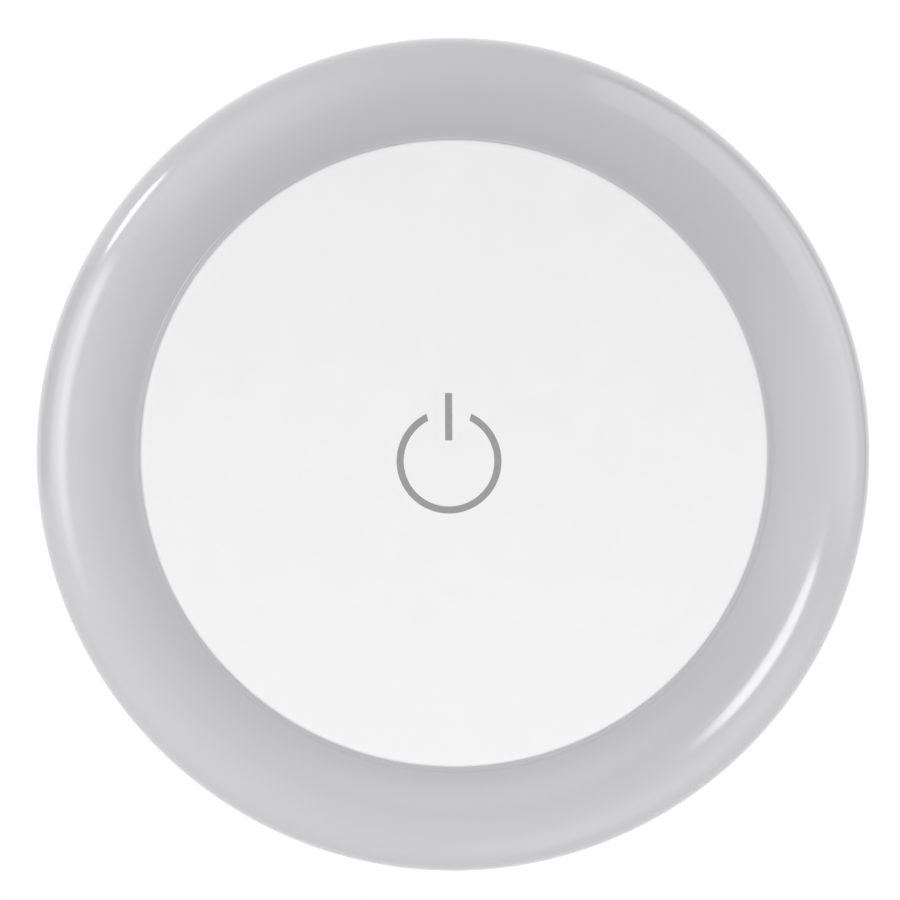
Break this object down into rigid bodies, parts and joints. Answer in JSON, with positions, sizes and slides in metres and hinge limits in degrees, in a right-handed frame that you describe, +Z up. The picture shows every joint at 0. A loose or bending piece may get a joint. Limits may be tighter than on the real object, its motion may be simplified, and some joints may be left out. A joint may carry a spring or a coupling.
{
  "type": "plug-in night light",
  "caption": "Round plug-in night light: a white push disc with a power symbol inside a milky diffuser ring, on a shallow housing with a round-pin plug behind.",
  "frame": {"origin": "middle of the plug block's end face, between the two pins", "axes": "+Z up, as the symbol stands; +Y along the pins, into the wall, so the front faces -Y; +X to the right as seen from the front"},
  "size_m": [0.08, 0.063, 0.08],
  "materials": {
    "disc_white": "white, fine matt texture",
    "print_grey": "grey print, flat",
    "diffuser_milky": "milky, translucent, polished",
    "housing_white": "white, smooth",
    "sleeve_grey": "grey insulating sleeve",
    "pin_nickel": "nickel plated, bright",
    "strip_brass": "bare, stamped",
    "screw_steel": "zinc plated",
    "frame_white": "white, as moulded",
    "board_white": "white lacquered laminate",
    "board_green": "green lacquered laminate",
    "led_yellow": "yellow phosphor in white plastic",
    "capacitor_yellow": "yellow case",
    "capacitor_black": "black sleeve over a can",
    "chip_black": "black moulded case",
    "resistor_tan": "tan lacquer",
    "resistor_blue": "blue lacquer",
    "varistor_blue": "blue dipped coat",
    "switch_black": "black, as moulded",
    "plunger_white": "white, as moulded",
    "lead_red": "red insulation",
    "lead_black": "black insulation"
  },
  "bodies": {
    "housing": {"rear_housing": "housing_white", "diffuser_ring": "diffuser_milky", "plug_insert": "housing_white", "plug_pin_left": "pin_nickel", "plug_pin_right": "pin_nickel", "pin_sleeve_left": "sleeve_grey", "pin_sleeve_right": "sleeve_grey", "contact_strip_left": "strip_brass", "contact_strip_right": "strip_brass", "inner_frame": "frame_white", "frame_screw_1": "screw_steel", "frame_screw_2": "screw_steel", "frame_screw_3": "screw_steel", "led_board": "board_white", "led_1": "led_yellow", "led_2": "led_yellow", "led_3": "led_yellow", "led_4": "led_yellow", "led_5": "led_yellow", "led_6": "led_yellow", "led_lead_red": "lead_red", "led_lead_black": "lead_black", "power_board": "board_green", "board_screw_left": "screw_steel", "board_screw_right": "screw_steel", "film_capacitor": "capacitor_yellow", "electrolytic_capacitor": "capacitor_black", "bridge_rectifier": "chip_black", "varistor": "varistor_blue", "fusible_resistor": "resistor_tan", "bleed_resistor": "resistor_blue", "switch_body": "switch_black", "switch_cover": "screw_steel", "switch_spring": "screw_steel", "switch_terminal_left": "strip_brass", "switch_terminal_right": "strip_brass"},
    "push_plate": {"push_plate": "disc_white", "power_mark_ring": "print_grey", "power_mark_bar": "print_grey"},
    "switch_plunger": {"switch_plunger": "plunger_white"}
  },
  "joints": [
    {"name": "push_plate_slide", "type": "slide", "parent": "housing", "child": "push_plate", "axis": [0, 1, 0], "range_m": [0, 0.001], "stiffness_N_per_m": 700, "springref_m": -0.0008},
    {"name": "switch_plunger_slide", "type": "slide", "parent": "housing", "child": "switch_plunger", "axis": [0, 1, 0], "range_m": [0, 0.001], "deforming": ["switch_spring"]}
  ],
  "couplings": [
    {"joint": "switch_plunger_slide", "follows": "push_plate_slide", "ratio": 1}
  ]
}
